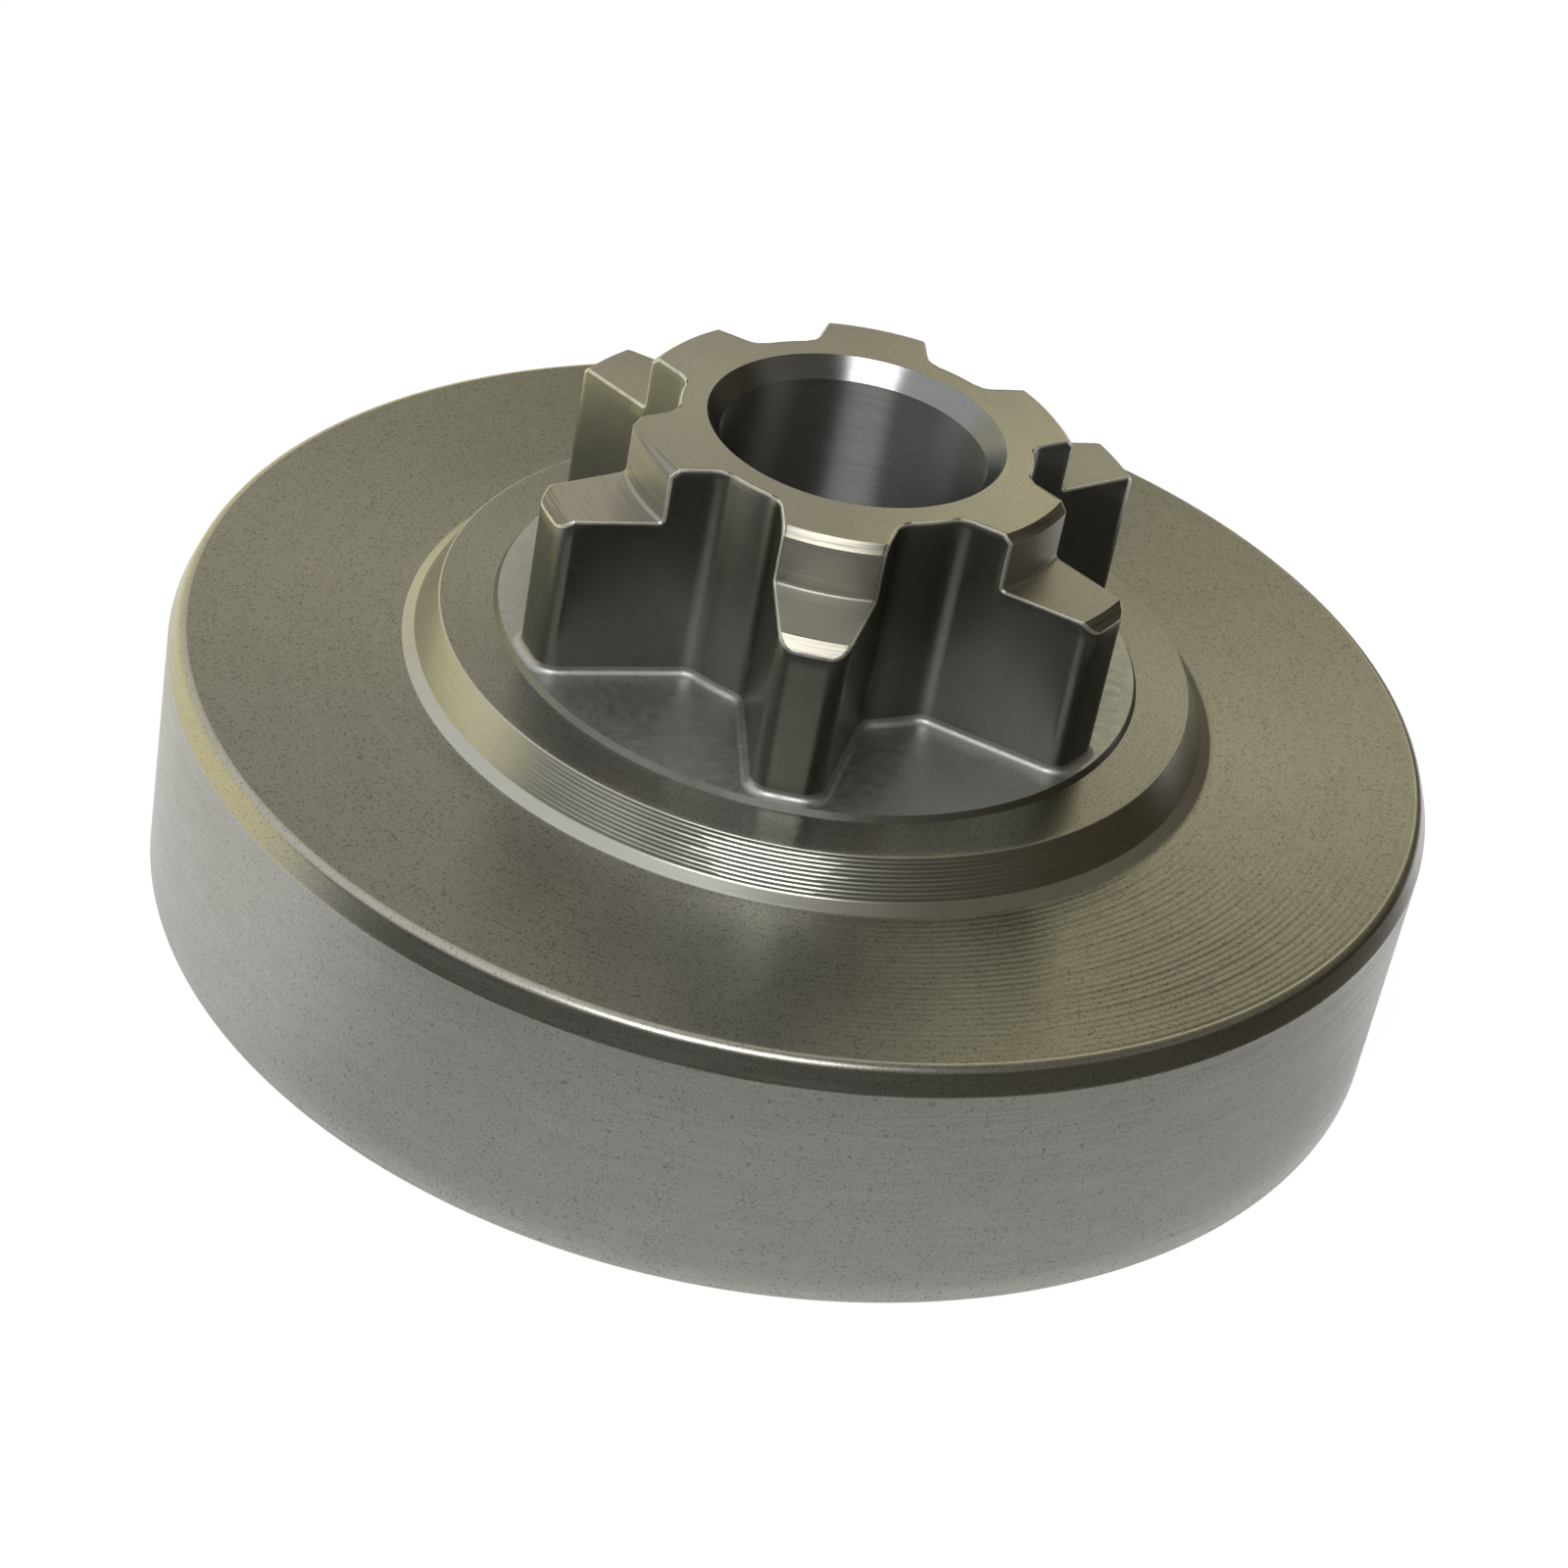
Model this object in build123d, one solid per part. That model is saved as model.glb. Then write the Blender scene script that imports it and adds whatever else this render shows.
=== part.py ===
"""Clutch drum with a six-tooth chain sprocket, for the drive of a garden machine.

One piece of steel: a turned drum that opens downwards, and a sprocket cut on its closed face.
Millimetres. +Z runs up the axis of rotation, the origin is the centre of the drum's rim,
and one tooth points along -Y.
"""

import os
from math import hypot, radians, tan

from build123d import *

# Drum: a cup that stands on its rim
drum_radius = 31.5
drum_height = 13.5
drum_wall = 2.8
web_thickness = 2.8
edge_drop = 1.25
edge_inset = 0.5
rim_edge_break = 0.25
mouth_chamfer = 0.5
cavity_corner_chamfer = 0.8

# Pad: the raised ring between the drum's face and the sprocket
pad_radius = 18.7
pad_height = 2.2
pad_side_spread = 1.2
pad_foot_chamfer = 0.38

# Sprocket blank: the low disc that the teeth rise from
disc_height = 0.3
disc_land = 0.05
disc_side_spread = 0.2

# Teeth
tooth_count = 6
first_tooth_angle = -90.0
tip_radius = 15.4
root_radius = 8.6
tooth_height = 8.4
tooth_mid_radius = 10.7
tooth_mid_width = 4.82
flank_lean = 9.8
root_corner_radius = 1.1
tip_corner_radius = 1.0
tip_chamfer = 0.53
tooth_foot_radius = 0.4

# Collar: the turned shoulder above the teeth, cut through by the tooth gaps
collar_radius = 10.9
collar_height = 2.9
collar_chamfer = 0.4
collar_foot_chamfer = 0.2

# Bore for the needle bearing
bore_radius = 6.5
bore_lead_width = 0.75
bore_lead_depth = 1.0
bore_back_chamfer = 0.5

# Heights and radii that follow from the sizes above
cavity_radius = drum_radius - drum_wall
cavity_top = drum_height - web_thickness
pad_top = drum_height + pad_height
disc_top = pad_top + disc_height
disc_radius = tip_radius + tooth_foot_radius + disc_land
step_top = disc_top + tooth_height
collar_top = step_top + collar_height

# Two points closer than this are the same corner
same_point = 1e-4


def corner(section, radius, height):
    """The corner of a half section that lies at a radius and a height."""
    return section.vertices().sort_by_distance((radius, height))[0]


def at_radius(sketch, radius):
    """The vertices of a flat sketch that lie on a circle round the axis."""
    return sketch.vertices().filter_by(lambda v: abs(hypot(v.X, v.Y) - radius) < same_point)


def turned_drum():
    """Drum, pad and sprocket disc, turned from one profile, with no bore yet."""
    with BuildPart() as turned:
        with BuildSketch(Plane.XZ) as profile:
            with BuildLine():
                Polyline(
                    (0, cavity_top),
                    (cavity_radius, cavity_top),
                    (cavity_radius, 0),
                    (drum_radius, 0),
                    (drum_radius, drum_height - edge_drop),
                    (drum_radius - edge_inset, drum_height),
                    (pad_radius + pad_side_spread, drum_height),
                    (pad_radius, pad_top),
                    (disc_radius + disc_side_spread, pad_top),
                    (disc_radius, disc_top),
                    (0, disc_top),
                    close=True,
                )
            make_face()
            chamfer(corner(profile, cavity_radius, cavity_top), cavity_corner_chamfer)
            chamfer(corner(profile, cavity_radius, 0), mouth_chamfer)
            chamfer(corner(profile, drum_radius, 0), rim_edge_break)
            chamfer(corner(profile, pad_radius + pad_side_spread, drum_height), pad_foot_chamfer)
        revolve(axis=Axis.Z)
    return turned.part


def toothed_hub():
    """The star of teeth, cut from a turned blank with a collar above the tooth tips."""
    past_tip = tip_radius + tip_corner_radius
    tip_cone_foot = step_top - tip_chamfer - (past_tip - tip_radius)
    narrowing = tan(radians(flank_lean))
    half_width_at_axis = tooth_mid_width / 2 + narrowing * tooth_mid_radius
    half_width_past_tip = tooth_mid_width / 2 - narrowing * (past_tip - tooth_mid_radius)
    with BuildPart() as hub:
        with BuildSketch(Plane.XZ) as blank:
            with BuildLine():
                Polyline(
                    (0, disc_top),
                    (past_tip, disc_top),
                    (past_tip, tip_cone_foot),
                    (tip_radius - tip_chamfer, step_top),
                    (collar_radius, step_top),
                    (collar_radius, collar_top),
                    (0, collar_top),
                    close=True,
                )
            make_face()
            chamfer(corner(blank, collar_radius, step_top), collar_foot_chamfer)
            chamfer(corner(blank, collar_radius, collar_top), collar_chamfer)
        revolve(axis=Axis.Z)

        with BuildSketch(Plane.XY.offset(disc_top)) as star:
            Circle(root_radius)
            with PolarLocations(0, tooth_count, start_angle=first_tooth_angle):
                Polygon(
                    (0, -half_width_at_axis),
                    (past_tip, -half_width_past_tip),
                    (past_tip, half_width_past_tip),
                    (0, half_width_at_axis),
                    align=None,
                )
            Circle(tip_radius, mode=Mode.INTERSECT)
            fillet(at_radius(star, root_radius), root_corner_radius)
            fillet(at_radius(star, tip_radius), tip_corner_radius)
        extrude(amount=collar_top - disc_top, mode=Mode.INTERSECT)
    return hub.part


def bearing_bore():
    """The bore's own form, with a lead-in cone at the top and a small chamfer at the back."""
    with BuildPart() as bore:
        with BuildSketch(Plane.XZ):
            with BuildLine():
                Polyline(
                    (0, cavity_top),
                    (bore_radius + bore_back_chamfer, cavity_top),
                    (bore_radius, cavity_top + bore_back_chamfer),
                    (bore_radius, collar_top - bore_lead_depth),
                    (bore_radius + bore_lead_width, collar_top),
                    (0, collar_top),
                    close=True,
                )
            make_face()
        revolve(axis=Axis.Z)
    return bore.part


def tooth_feet(solid):
    """The closed line where the teeth meet the disc."""
    on_disc = solid.edges().filter_by_position(Axis.Z, disc_top - same_point, disc_top + same_point)
    return on_disc.filter_by(lambda e: hypot((e @ 0.5).X, (e @ 0.5).Y) < tip_radius + same_point)


def clutch_drum_sprocket():
    """Drum and sprocket as one solid, with filleted tooth feet and the bore through both."""
    solid = turned_drum() + toothed_hub()
    solid = fillet(tooth_feet(solid), tooth_foot_radius)
    return solid - bearing_bore()


os.makedirs("parts", exist_ok=True)
part = clutch_drum_sprocket()
part.label = "clutch_drum_sprocket"
export_step(part, "parts/clutch_drum_sprocket.step")
print("solids", len(part.solids()), "volume", round(part.volume, 1), "box", part.bounding_box().size)
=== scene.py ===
"""Finished look of a clutch drum with a six-tooth chain sprocket, on a pale studio floor.

One piece of sintered steel: a cup turned on a lathe, with a sprocket formed on its closed face.
Metres, in the packed model's frame: +Z runs up the axis of rotation, the origin is the centre
of the drum's rim, and one tooth points along -Y, towards the camera.
"""

from collections import namedtuple
from math import atan2, cos, pi, radians, sin, sqrt, tan
from random import Random
from types import SimpleNamespace

import bmesh
import bpy
from mathutils import Matrix, Vector


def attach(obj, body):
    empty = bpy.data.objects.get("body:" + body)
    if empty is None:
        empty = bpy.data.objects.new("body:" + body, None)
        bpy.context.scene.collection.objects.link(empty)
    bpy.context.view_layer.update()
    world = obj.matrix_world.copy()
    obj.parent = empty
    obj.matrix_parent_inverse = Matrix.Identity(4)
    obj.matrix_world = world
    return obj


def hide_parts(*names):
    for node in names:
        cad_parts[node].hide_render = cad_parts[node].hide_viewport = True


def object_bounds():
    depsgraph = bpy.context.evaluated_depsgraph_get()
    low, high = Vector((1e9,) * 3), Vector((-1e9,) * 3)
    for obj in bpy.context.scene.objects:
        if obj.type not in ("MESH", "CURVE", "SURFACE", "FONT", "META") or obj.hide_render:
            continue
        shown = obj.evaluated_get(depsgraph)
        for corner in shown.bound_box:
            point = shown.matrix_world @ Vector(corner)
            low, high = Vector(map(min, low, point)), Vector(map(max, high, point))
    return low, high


bl_info = {
    "name": "Clutch drum sprocket",
    "version": (1, 0, 0),
    "blender": (4, 5, 0),
    "location": "3D View > Sidebar > Clutch drum",
    "description": "Builds a turned clutch drum with a six-tooth sprocket, and a studio to show it in",
    "category": "Add Mesh",
}

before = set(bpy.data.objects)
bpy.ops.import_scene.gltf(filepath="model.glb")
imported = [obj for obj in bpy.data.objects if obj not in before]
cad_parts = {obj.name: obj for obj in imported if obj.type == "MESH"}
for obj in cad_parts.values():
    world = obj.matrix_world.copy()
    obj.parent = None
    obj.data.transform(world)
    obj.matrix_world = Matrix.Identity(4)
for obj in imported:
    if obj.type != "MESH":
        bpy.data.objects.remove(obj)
NODE = "clutch_drum_sprocket"
BODY = "root"
CAD_LOW, CAD_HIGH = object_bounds()
MM = 0.001


def linear(hex_colour):
    """An sRGB hex colour as linear red, green and blue."""
    levels = [int(hex_colour[i:i + 2], 16) / 255 for i in (0, 2, 4)]
    return tuple(v / 12.92 if v <= 0.04045 else ((v + 0.055) / 1.055) ** 2.4 for v in levels)


def length(label, words, millimetres):
    """A size that the user can change."""
    return bpy.props.FloatProperty(
        name=label, description=words, default=millimetres * MM, min=0.0, unit="LENGTH", precision=5
    )


def angle(label, words, degrees):
    """An angle that the user can change."""
    return bpy.props.FloatProperty(
        name=label, description=words, default=radians(degrees), subtype="ANGLE"
    )


def count(label, words, number):
    """A whole number that the user can change."""
    return bpy.props.IntProperty(name=label, description=words, default=number, min=1)


def amount(label, words, value):
    """A plain number that the user can change."""
    return bpy.props.FloatProperty(name=label, description=words, default=value, min=0.0)


def colour(label, words, hex_colour):
    """A colour that the user can change."""
    return bpy.props.FloatVectorProperty(
        name=label, description=words, default=linear(hex_colour), subtype="COLOR", min=0.0, max=1.0
    )


class DrumSizes(bpy.types.PropertyGroup):
    """Sizes of the cup and of the raised pad on its closed face."""

    radius: length("Radius", "Outside radius of the drum", CAD_HIGH.x / MM)
    height: length("Height", "From the rim to the flat face", 13.5)
    wall: length("Wall", "Thickness of the drum's wall", 2.8)
    web: length("Web", "Thickness of the closed face", 2.8)
    edge_drop: length("Edge drop", "Height of the bevelled edge", 1.25)
    edge_inset: length("Edge inset", "How far the bevelled edge comes in at the face", 0.5)
    edge_round: length("Edge round", "Radius between the bevelled edge and the face", 0.5)
    edge_soften: length("Edge soften", "Reach of the soft corner between bevel and wall", 0.1)
    rim_break: length("Rim break", "Chamfer outside the rim", 0.25)
    mouth_chamfer: length("Mouth chamfer", "Chamfer inside the rim", 0.5)
    cavity_corner: length("Cavity corner", "Reach of the round corner inside the cup", 0.8)
    pad_radius: length("Pad radius", "Radius of the pad's flat top", 18.7)
    pad_height: length("Pad height", "Height of the pad above the face", 2.2)
    pad_spread: length("Pad spread", "How far the pad's side slopes out", 1.2)
    pad_foot: length("Pad foot", "Chamfer at the pad's foot", 0.38)
    pad_break: length("Pad break", "Rounding of the pad's top edge", 0.06)


class SprocketSizes(bpy.types.PropertyGroup):
    """Sizes of the teeth, the disc under them and the collar above them."""

    teeth: count("Teeth", "Number of teeth", 6)
    first_tooth: angle("First tooth", "Direction of the first tooth", -90.0)
    disc_height: length("Disc height", "Height of the low disc under the teeth", 0.3)
    disc_land: length("Disc land", "Flat of the disc outside the tooth feet", 0.05)
    disc_spread: length("Disc spread", "How far the disc's edge slopes out", 0.2)
    tip_radius: length("Tip radius", "Radius of the tooth tips", 15.4)
    root_radius: length("Root radius", "Radius of the bottom of the tooth gaps", 8.6)
    tooth_height: length("Tooth height", "From the disc to the step on top of a tooth", 8.4)
    mid_radius: length("Middle radius", "Where the tooth's width is measured", 10.7)
    mid_width: length("Middle width", "Width of a tooth at the middle radius", 4.82)
    flank_lean: angle("Flank lean", "Angle of a flank to the middle of its tooth", 9.8)
    root_corner: length("Root corner", "Radius between a flank and the gap's bottom", 1.1)
    tip_corner: length("Tip corner", "Radius between a flank and the tip", 1.0)
    tip_chamfer: length("Tip chamfer", "Chamfer on top of the tip", 0.53)
    foot_radius: length("Foot radius", "Fillet where the teeth meet the disc", 0.4)
    collar_radius: length("Collar radius", "Radius of the collar above the teeth", 10.9)
    collar_chamfer: length("Collar chamfer", "Chamfer on top of the collar", 0.4)
    collar_foot: length("Collar foot", "Fillet at the foot of the collar", 0.2)
    edge_break: length("Edge break", "Width of the broken edge round the tooth tops", 0.12)


class BoreSizes(bpy.types.PropertyGroup):
    """Sizes of the bearing's bore."""

    radius: length("Radius", "Radius of the bore", 6.5)
    lead_width: length("Lead width", "Width of the lead-in cone at the top", 0.75)
    lead_depth: length("Lead depth", "Depth of the lead-in cone at the top", 1.0)
    back_chamfer: length("Back chamfer", "Chamfer at the lower end", 0.5)


class CutMarks(bpy.types.PropertyGroup):
    """The tool's feed marks that are deep enough to be part of the form."""

    face_grooves: count("Face grooves", "Feed marks across the drum's face", 28)
    face_depth: length("Face depth", "Greatest depth of a feed mark on the face", 0.024)
    face_land: amount("Face land", "Flat share between two marks", 0.58)
    face_deepest: angle("Face deepest", "Where round the axis the face's marks are deepest", -46.0)
    face_focus: amount("Face focus", "How closely the face's marks keep to their deepest place", 20.0)
    side_ridges: count("Pad side ridges", "Feed marks down the pad's sloping side", 10)
    side_depth: length("Pad side depth", "Greatest depth of a feed mark on the pad's side", 0.029)
    side_deepest: angle("Pad side deepest", "Where round the axis the pad's marks are deepest", -90.0)
    side_focus: amount("Pad side focus", "How closely the pad's marks keep to their deepest place", 12.0)
    least: amount("Least", "Share of the depth that is left elsewhere", 0.1)
    unevenness: amount("Unevenness", "Spread of the marks' depths", 0.25)
    seed: bpy.props.IntProperty(name="Seed", description="Start of the marks' random depths", default=7)


class SteelColours(bpy.types.PropertyGroup):
    """What each finish of the steel reflects under white light."""

    faced: colour("Faced", "The drum's flat face and the pad's top", "8f8e87")
    wall: colour("Wall", "The drum's turned outside", "a9a8a3")
    rolled: colour("Rolled", "The smooth bevel between wall and face", "a8a69d")
    pad_side: colour("Pad side", "The pad's sloping side", "b5b4ab")
    formed: colour("Formed", "The pocket floors between the teeth", "b2b3b0")
    flank: colour("Flank", "The flanks of the teeth, and the disc's edge", "82837d")
    turned: colour("Turned", "The collar, and the step of each tooth", "a4a199")
    crown: colour("Crown", "The hub's flat top", "9b998f")
    glint: colour("Glint", "The ridged chamfers on collar and tips", "8e8b80")
    lead: colour("Lead", "The lead-in cone of the bore", "8c8d8e")
    bored: colour("Bored", "The bearing's bore", "a2a2a0")
    cavity: colour("Cavity", "The inside of the cup", "86847e")
    # Broken: bare steel, made paler still so that every broken edge shows a painted highlight line
    broken: colour("Broken", "The broken edges", "e6e4dc")


class StudioSettings(bpy.types.PropertyGroup):
    """Camera, floor and lights."""

    lens: bpy.props.FloatProperty(
        name="Lens", description="Focal length", default=86.7, unit="CAMERA"
    )
    distance: length("Distance", "From the rim's centre to the camera", 195.24)
    elevation: angle("Elevation", "Height of the camera above the horizon", 35.49)
    yaw: angle("Yaw", "Turn of the camera to the side", -0.04)
    pitch: angle("Pitch", "Turn of the camera up or down", -1.57)
    roll: angle("Roll", "Turn of the camera about its own line of sight", -11.28)
    floor_radius: length("Floor radius", "Radius of the pale floor", 1500.0)
    card_distance: length("Card distance", "From the part to the cards that it mirrors", 700.0)
    low_card_radius: length("Low card radius", "From the axis to the low cards round the part", 55.0)
    low_card_height: length("Low card height", "Height of the low cards", 30.0)
    lamp_distance: length("Lamp distance", "From the part to the lamps", 600.0)


# How finely the round forms are divided
TURNED_COLUMNS = 330
TIP_COLUMNS = 20
HALF_GAP_COLUMNS = 6
CORNER_STEPS = 6
FOOT_STEPS = 5
COLLAR_FOOT_STEPS = 3
WALL_ROWS = 10
COLLAR_ROWS = 6
STEP_ROWS = 5
CROWN_ROWS = 3
CROWN_RINGS = 5
BORE_ROWS = 8
PAD_RINGS = 5
DRUM_WALL_ROWS = 6
PAD_EDGE_STEPS = 3
EDGE_TOP_STEPS = 10
EDGE_FOOT_STEPS = 4
CAVITY_STEPS = 6
SIDE_MARK_STEPS = 4
FACE_MARK_STEPS = 3
FAR_CARD_STEPS = 24
RING_CARD_STEPS = 32
RING_CARD_RISE = 8

# Points closer than this are one point, and rows this far from an edge keep its faces flat
SAME_POINT = 0.001 * MM
BESIDE_EDGE = 0.02 * MM
WIDEST_BESIDE = 0.3

# Edges that turn more than this stay sharp
CREASE_ANGLE = radians(35.0)

# Width of the ring that joins the sprocket's columns to the drum's
JOINING_RING = 0.5 * MM

# One column of the sprocket's outline, in the axes of its own tooth
Station = namedtuple("Station", "radius angle facing spread")

# How a tool marks a stretch: marks across it, flat share and steps of each, depth, and where it is deepest
Cut = namedtuple("Cut", "number land steps depth deepest focus")

# A stretch of the turned half section: its finish and points, how far they dip, and the cut that dips them
Stretch = namedtuple("Stretch", "finish points dips cut", defaults=(None, None))


def between(start, end, parts):
    """Values from a start to an end in equal parts, with both ends."""
    return [start + (end - start) * i / parts for i in range(parts + 1)]


def rotated(vector, turn):
    """A flat vector turned about the axis."""
    along, aside = cos(turn), sin(turn)
    return Vector((vector.x * along - vector.y * aside, vector.x * aside + vector.y * along))


def corner_arc(corner, before, after, reach, steps):
    """Rounds a corner of a half section, from a point on the line before it to one on the line after."""
    corner = Vector(corner)
    sides = [(Vector(end) - corner).normalized() for end in (before, after)]
    half = sides[0].angle(sides[1]) / 2
    centre = corner + (sides[0] + sides[1]).normalized() * (reach / cos(half))
    first, last = (corner + side * reach - centre for side in sides)
    sweep = atan2(first.x * last.y - first.y * last.x, first.dot(last))
    return [centre + rotated(first, turn) for turn in between(0.0, sweep, steps)]


def chamfer(corner, before, after, reach):
    """Cuts a corner of a half section straight, with a row close to each edge to keep it flat."""
    corner = Vector(corner)
    first, last = (corner + (Vector(end) - corner).normalized() * reach for end in (before, after))
    close = BESIDE_EDGE / (last - first).length
    return [first.lerp(last, share) for share in (0.0, close, 1 - close, 1.0)]


def feed_marks(finish, start, end, cut, marks):
    """A turned stretch with a flat land and a shallow scallop for each turn of the lathe."""
    start, end = Vector(start), Vector(end)
    inward = rotated((end - start).normalized(), -pi / 2)
    uneven = Random(marks.seed)
    points, dips = [], []
    for mark in range(cut.number):
        depth = cut.depth * (1 + marks.unevenness * uneven.uniform(-1, 1))
        if cut.land:
            points.append(start.lerp(end, mark / cut.number))
            dips.append(inward * 0.0)
        for step in range(cut.steps):
            share = step / cut.steps
            points.append(start.lerp(end, (mark + cut.land + (1 - cut.land) * share) / cut.number))
            dips.append(inward * depth * sin(pi * share))
    return Stretch(finish, [*points, end], [*dips, inward * 0.0], cut)


def turned_rows(stretch, turns, least):
    """The rows of points that a stretch makes round the axis; marks fade away from their deepest place."""
    cut = stretch.cut
    if not cut:
        return [ring(point[0], point[1], turns) for point in stretch.points]
    depths = [least + (1 - least) * max(0.0, cos(turn - cut.deepest)) ** cut.focus for turn in turns]
    return [
        [polar(point.x + dip.x * deep, turn, point.y + dip.y * deep) for turn, deep in zip(turns, depths)]
        for point, dip in zip(stretch.points, stretch.dips)
    ]


def levels(drum, teeth):
    """Heights and radii that follow from the driving sizes."""
    pad_top = drum.height + drum.pad_height
    disc_top = pad_top + teeth.disc_height
    step_top = disc_top + teeth.tooth_height
    return SimpleNamespace(
        cavity_radius=drum.radius - drum.wall,
        cavity_top=drum.height - drum.web,
        pad_top=pad_top,
        disc_top=disc_top,
        disc_radius=teeth.tip_radius + teeth.foot_radius + teeth.disc_land,
        step_top=step_top,
        collar_top=CAD_HIGH.z,
        collar_edge=teeth.collar_radius - teeth.collar_chamfer,
        chamfer_top=teeth.tip_radius - teeth.tip_chamfer,
        wall_foot=disc_top + teeth.foot_radius,
        shoulder=step_top + teeth.collar_foot,
    )


def mesh_of(build, name):
    """A mesh from what was built, which is then let go."""
    mesh = bpy.data.meshes.new(name)
    build.to_mesh(mesh)
    build.free()
    return mesh


def in_scene(name, data):
    """A new object that is in the scene."""
    made = bpy.data.objects.new(name, data)
    bpy.context.scene.collection.objects.link(made)
    return made


class Skin:
    """The part's surface, gathered patch by patch, each with a finish and a place on the sprocket."""

    PLAIN, TOP, SIDE = 0, 1, 2

    def __init__(self):
        self.mesh = bmesh.new()
        self.place = self.mesh.faces.layers.int.new("place")

    def face(self, corners, finish, place):
        made = self.mesh.faces.new(corners)
        made.material_index = FINISHES.index(finish)
        made[self.place] = place

    def grid(self, rows, finish, closed=False, place=PLAIN):
        """Quads between rows of points; a closed grid runs right round."""
        corners = [[self.mesh.verts.new(point) for point in row] for row in rows]
        columns = len(rows[0])
        for near, far in zip(corners, corners[1:]):
            for i in range(columns if closed else columns - 1):
                j = (i + 1) % columns
                self.face((near[i], near[j], far[j], far[i]), finish, place)

    def stitch(self, inner, outer, finish):
        """Triangles between two rings that start together but have different numbers of points."""
        rings = [[self.mesh.verts.new(point) for point in ring] for ring in (inner, outer)]
        turns = [ring_turns(ring) for ring in (inner, outer)]
        i = j = 0
        while i < len(inner) or j < len(outer):
            near, far = rings[0][i % len(inner)], rings[1][j % len(outer)]
            if j == len(outer) or (i < len(inner) and turns[0][i + 1] <= turns[1][j + 1]):
                i += 1
                self.face((near, rings[0][i % len(inner)], far), finish, self.PLAIN)
            else:
                j += 1
                self.face((near, rings[1][j % len(outer)], far), finish, self.PLAIN)

    def finished(self, edge_break):
        """Joins the patches, breaks the sprocket's top edges and keeps the sharp creases."""
        bmesh.ops.remove_doubles(self.mesh, verts=self.mesh.verts, dist=SAME_POINT)
        bmesh.ops.recalc_face_normals(self.mesh, faces=self.mesh.faces)
        top_edges = [e for e in self.mesh.edges if self.is_top_edge(e)]
        bmesh.ops.bevel(
            self.mesh, geom=top_edges, offset=edge_break, offset_type="OFFSET", segments=2,
            profile=0.5, affect="EDGES", clamp_overlap=False, material=FINISHES.index("broken"),
        )
        if any(not e.is_manifold for e in self.mesh.edges):
            raise RuntimeError("the drum's surface isn't closed")
        for made in self.mesh.faces:
            made.smooth = True
        for e in self.mesh.edges:
            e.smooth = e.calc_face_angle() < CREASE_ANGLE
        return mesh_of(self.mesh, NODE)

    def is_top_edge(self, e):
        """True where a tooth's top or the hub's top meets a flank, a tip or a gap's bottom."""
        return {made[self.place] for made in e.link_faces} == {self.TOP, self.SIDE}


def polar(radius, turn, height):
    """A point at a radius and a turn about the axis."""
    return Vector((radius * cos(turn), radius * sin(turn), height))


def ring_turns(ring):
    """How far round each point of a ring lies from its first one, with a full turn at the end."""
    start = atan2(ring[0].y, ring[0].x)
    turns = [(atan2(point.y, point.x) - start) % (2 * pi) for point in ring]
    return [0.0] + turns[1:] + [2 * pi]


def ring(radius, height, turns):
    """A ring of points at given turns about the axis."""
    return [polar(radius, turn, height) for turn in turns]


def even_turns(start):
    """The turns of the columns that run round the lathe-turned surfaces."""
    return between(start, start + 2 * pi, TURNED_COLUMNS)[:-1]


def drum_stretches(drum, marks, at):
    """The drum's half section in stretches, from the pad's top to the ceiling of the cup."""
    pad_edge = (drum.pad_radius, at.pad_top)
    pad_corner = (drum.pad_radius + drum.pad_spread, drum.height)
    face_edge = (drum.radius - drum.edge_inset, drum.height)
    wall_top = (drum.radius, drum.height - drum.edge_drop)
    cavity_corner = (at.cavity_radius, at.cavity_top)

    edge_turn = atan2(drum.edge_drop, drum.edge_inset)
    edge_reach = drum.edge_round * tan(edge_turn / 2)
    pad_round = corner_arc(pad_edge, (0, at.pad_top), pad_corner, drum.pad_break, PAD_EDGE_STEPS)
    foot_slope = chamfer(pad_corner, pad_edge, face_edge, drum.pad_foot)
    edge_top = corner_arc(face_edge, pad_corner, wall_top, edge_reach, EDGE_TOP_STEPS)
    edge_foot = corner_arc(wall_top, face_edge, (drum.radius, 0), drum.edge_soften, EDGE_FOOT_STEPS)
    inner_round = corner_arc(
        cavity_corner, (at.cavity_radius, 0), (0, at.cavity_top), drum.cavity_corner, CAVITY_STEPS
    )

    side_cut = Cut(
        marks.side_ridges, 0.0, SIDE_MARK_STEPS, marks.side_depth, marks.side_deepest, marks.side_focus
    )
    face_cut = Cut(
        marks.face_grooves, marks.face_land, FACE_MARK_STEPS, marks.face_depth, marks.face_deepest,
        marks.face_focus,
    )
    wall_foot = Vector((drum.radius, drum.rim_break))
    rim_outer = (drum.radius - drum.rim_break, 0.0)
    rim_inner = (at.cavity_radius + drum.mouth_chamfer, 0.0)
    mouth = (at.cavity_radius, drum.mouth_chamfer)
    return [
        Stretch("pad_side", pad_round),
        feed_marks("pad_side", pad_round[-1], foot_slope[0], side_cut, marks),
        Stretch("pad_side", foot_slope),
        feed_marks("faced", foot_slope[-1], edge_top[0], face_cut, marks),
        Stretch("rolled", [*edge_top, *edge_foot]),
        Stretch("wall", between(edge_foot[-1], wall_foot, DRUM_WALL_ROWS)),
        Stretch("broken", [wall_foot, rim_outer]),
        Stretch("cavity", [rim_outer, rim_inner]),
        Stretch("broken", [rim_inner, mouth]),
        Stretch("cavity", [mouth, *inner_round]),
    ]


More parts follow.
